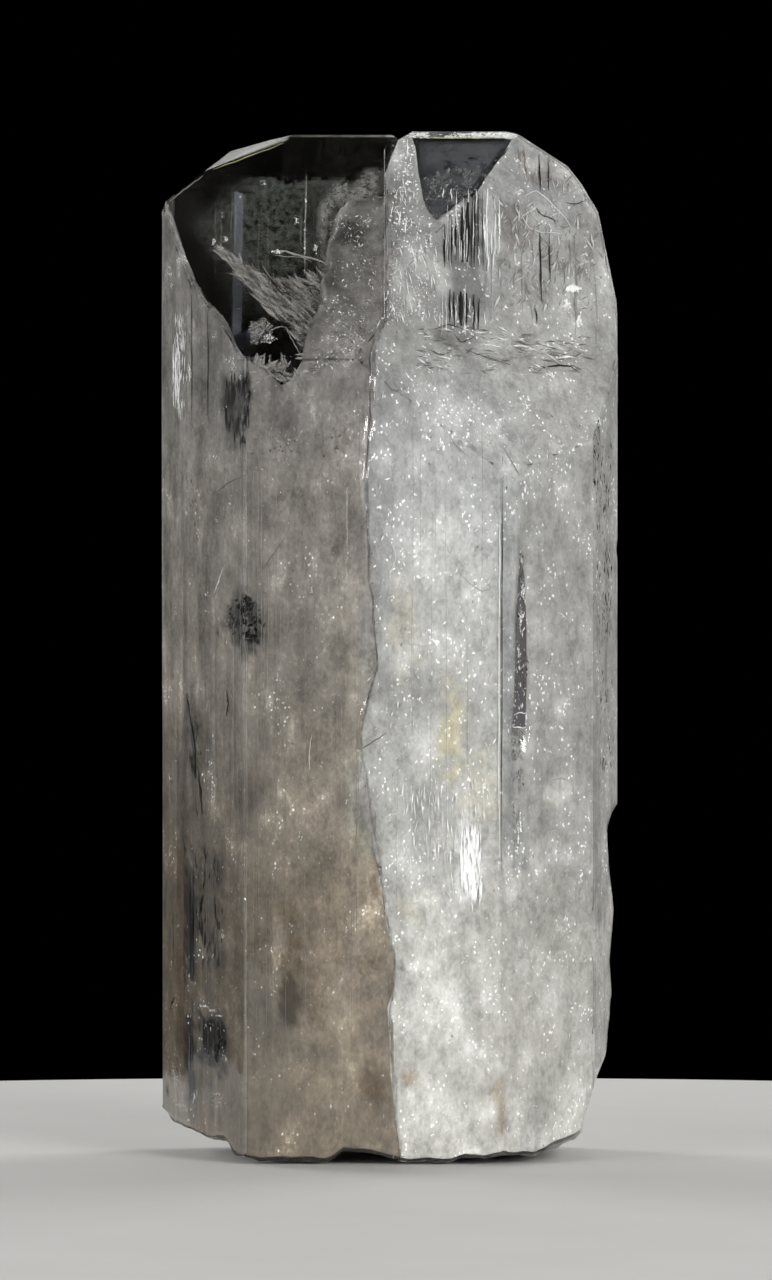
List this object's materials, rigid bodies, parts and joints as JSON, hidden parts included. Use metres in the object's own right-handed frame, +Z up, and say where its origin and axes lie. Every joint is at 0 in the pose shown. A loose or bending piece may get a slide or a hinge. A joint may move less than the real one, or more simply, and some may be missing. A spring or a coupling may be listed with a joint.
{
  "type": "danburite crystal",
  "caption": "Upright danburite crystal, clear at its chisel-shaped top and milky along the seam where it grew together, standing on the flat cut of its broken root.",
  "frame": {"origin": "middle of the crystal's box, on the surface it stands on", "axes": "+X to the right across the intergrown crystals, +Y to the back through the thin way, +Z up along the crystals' long axis"},
  "size_m": [0.0268, 0.014, 0.06],
  "materials": {
    "danburite": "polished"
  },
  "bodies": {
    "root": {"danburite_crystal": "danburite"}
  },
  "joints": []
}
